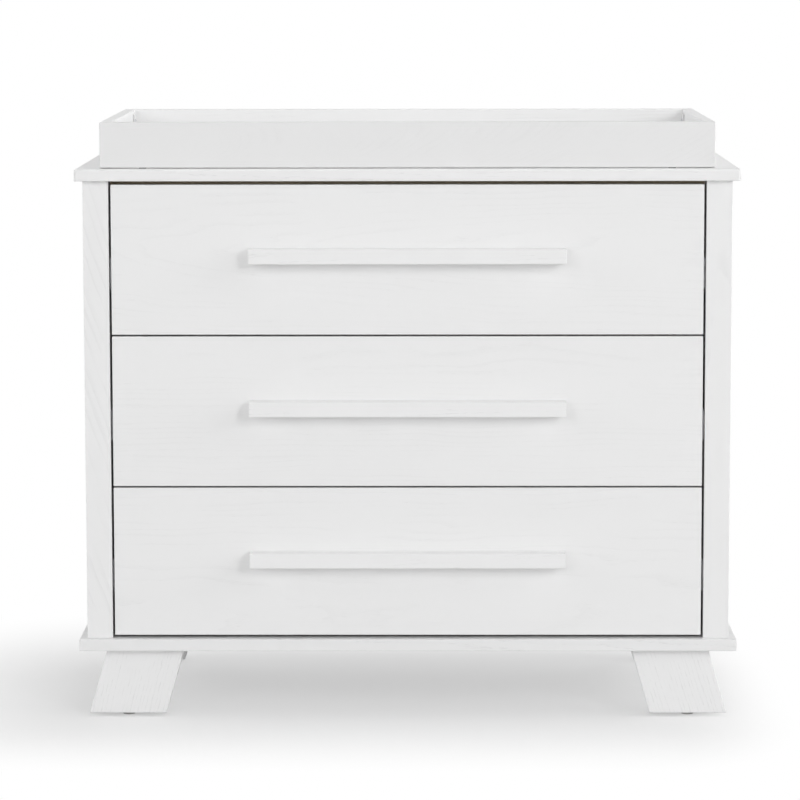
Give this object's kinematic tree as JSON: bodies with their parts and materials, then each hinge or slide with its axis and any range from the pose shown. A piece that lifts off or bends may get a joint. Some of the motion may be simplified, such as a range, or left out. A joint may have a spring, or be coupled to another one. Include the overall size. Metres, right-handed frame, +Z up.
{
  "type": "changing dresser",
  "caption": "White-painted wooden dresser with inset drawers, long bar pulls, splayed slab legs and a low open changing tray that lifts off the top.",
  "frame": {"origin": "on the floor, under the middle of the whole object, pulls included", "axes": "+X to the right as seen from the front, -Y out of the front, +Z up"},
  "size_m": [0.934, 0.492, 0.848],
  "materials": {
    "painted_wood": "thin satin white paint over open-grained wood",
    "back_board": "hardboard faced in matt white",
    "plain_wood": "sawn and planed softwood, unpainted",
    "drawer_wood": "pale clear-lacquered wood",
    "runner_steel": "zinc-plated rolled steel",
    "ball_cage": "bright steel balls in a thin steel cage",
    "fixing_steel": "zinc-plated screws and bolts",
    "bracket_paint": "white powder coat",
    "glide_nylon": "pale moulded nylon",
    "pad_rubber": "soft grey rubber"
  },
  "bodies": {
    "case": {"top_slab": "painted_wood", "base_slab": "painted_wood", "front_post_left": "painted_wood", "front_post_right": "painted_wood", "rear_post_left": "painted_wood", "rear_post_right": "painted_wood", "side_panel_left": "painted_wood", "side_panel_right": "painted_wood", "back_panel": "back_board", "back_panel_screws": "fixing_steel", "top_rail_front": "plain_wood", "top_rail_rear": "plain_wood", "runner_battens": "plain_wood", "runner_fixed_members": "runner_steel", "leg_front_left": "painted_wood", "leg_front_right": "painted_wood", "leg_rear_left": "painted_wood", "leg_rear_right": "painted_wood", "leg_glides": "glide_nylon", "leg_bolts": "fixing_steel"},
    "tray": {"tray_front": "painted_wood", "tray_back": "painted_wood", "tray_left": "painted_wood", "tray_right": "painted_wood", "tray_pads": "pad_rubber", "tray_brackets": "bracket_paint", "tray_bracket_screws": "fixing_steel"},
    "bottom_drawer": {"bottom_drawer_front": "painted_wood", "bottom_drawer_side_left": "drawer_wood", "bottom_drawer_side_right": "drawer_wood", "bottom_drawer_back": "drawer_wood", "bottom_drawer_bottom": "drawer_wood", "bottom_drawer_pull": "painted_wood", "bottom_drawer_pull_screws": "fixing_steel", "bottom_runner_drawer_members": "runner_steel"},
    "bottom_runner_middles": {"bottom_runner_middle_members": "runner_steel"},
    "bottom_runner_outer_cage_pair": {"bottom_runner_outer_cages": "ball_cage"},
    "bottom_runner_inner_cage_pair": {"bottom_runner_inner_cages": "ball_cage"},
    "middle_drawer": {"middle_drawer_front": "painted_wood", "middle_drawer_side_left": "drawer_wood", "middle_drawer_side_right": "drawer_wood", "middle_drawer_back": "drawer_wood", "middle_drawer_bottom": "drawer_wood", "middle_drawer_pull": "painted_wood", "middle_drawer_pull_screws": "fixing_steel", "middle_runner_drawer_members": "runner_steel"},
    "middle_runner_middles": {"middle_runner_middle_members": "runner_steel"},
    "middle_runner_outer_cage_pair": {"middle_runner_outer_cages": "ball_cage"},
    "middle_runner_inner_cage_pair": {"middle_runner_inner_cages": "ball_cage"},
    "top_drawer": {"top_drawer_front": "painted_wood", "top_drawer_side_left": "drawer_wood", "top_drawer_side_right": "drawer_wood", "top_drawer_back": "drawer_wood", "top_drawer_bottom": "drawer_wood", "top_drawer_pull": "painted_wood", "top_drawer_pull_screws": "fixing_steel", "top_runner_drawer_members": "runner_steel"},
    "top_runner_middles": {"top_runner_middle_members": "runner_steel"},
    "top_runner_outer_cage_pair": {"top_runner_outer_cages": "ball_cage"},
    "top_runner_inner_cage_pair": {"top_runner_inner_cages": "ball_cage"}
  },
  "joints": [
    {"name": "bottom_drawer_slide", "type": "slide", "parent": "case", "child": "bottom_drawer", "axis": [0, -1, 0], "range_m": [0, 0.4]},
    {"name": "bottom_runner_middle_slide", "type": "slide", "parent": "case", "child": "bottom_runner_middles", "axis": [0, -1, 0], "range_m": [0, 0.2]},
    {"name": "bottom_runner_outer_cage_slide", "type": "slide", "parent": "case", "child": "bottom_runner_outer_cage_pair", "axis": [0, -1, 0], "range_m": [0, 0.1]},
    {"name": "bottom_runner_inner_cage_slide", "type": "slide", "parent": "case", "child": "bottom_runner_inner_cage_pair", "axis": [0, -1, 0], "range_m": [0, 0.3]},
    {"name": "middle_drawer_slide", "type": "slide", "parent": "case", "child": "middle_drawer", "axis": [0, -1, 0], "range_m": [0, 0.4]},
    {"name": "middle_runner_middle_slide", "type": "slide", "parent": "case", "child": "middle_runner_middles", "axis": [0, -1, 0], "range_m": [0, 0.2]},
    {"name": "middle_runner_outer_cage_slide", "type": "slide", "parent": "case", "child": "middle_runner_outer_cage_pair", "axis": [0, -1, 0], "range_m": [0, 0.1]},
    {"name": "middle_runner_inner_cage_slide", "type": "slide", "parent": "case", "child": "middle_runner_inner_cage_pair", "axis": [0, -1, 0], "range_m": [0, 0.3]},
    {"name": "top_drawer_slide", "type": "slide", "parent": "case", "child": "top_drawer", "axis": [0, -1, 0], "range_m": [0, 0.4]},
    {"name": "top_runner_middle_slide", "type": "slide", "parent": "case", "child": "top_runner_middles", "axis": [0, -1, 0], "range_m": [0, 0.2]},
    {"name": "top_runner_outer_cage_slide", "type": "slide", "parent": "case", "child": "top_runner_outer_cage_pair", "axis": [0, -1, 0], "range_m": [0, 0.1]},
    {"name": "top_runner_inner_cage_slide", "type": "slide", "parent": "case", "child": "top_runner_inner_cage_pair", "axis": [0, -1, 0], "range_m": [0, 0.3]},
    {"name": "tray_lift", "type": "slide", "parent": "case", "child": "tray", "axis": [0, 0, 1], "range_m": [0, 0.12]}
  ],
  "couplings": [
    {"joint": "bottom_runner_middle_slide", "follows": "bottom_drawer_slide", "ratio": 0.5},
    {"joint": "bottom_runner_outer_cage_slide", "follows": "bottom_drawer_slide", "ratio": 0.25},
    {"joint": "bottom_runner_inner_cage_slide", "follows": "bottom_drawer_slide", "ratio": 0.75},
    {"joint": "middle_runner_middle_slide", "follows": "middle_drawer_slide", "ratio": 0.5},
    {"joint": "middle_runner_outer_cage_slide", "follows": "middle_drawer_slide", "ratio": 0.25},
    {"joint": "middle_runner_inner_cage_slide", "follows": "middle_drawer_slide", "ratio": 0.75},
    {"joint": "top_runner_middle_slide", "follows": "top_drawer_slide", "ratio": 0.5},
    {"joint": "top_runner_outer_cage_slide", "follows": "top_drawer_slide", "ratio": 0.25},
    {"joint": "top_runner_inner_cage_slide", "follows": "top_drawer_slide", "ratio": 0.75}
  ]
}
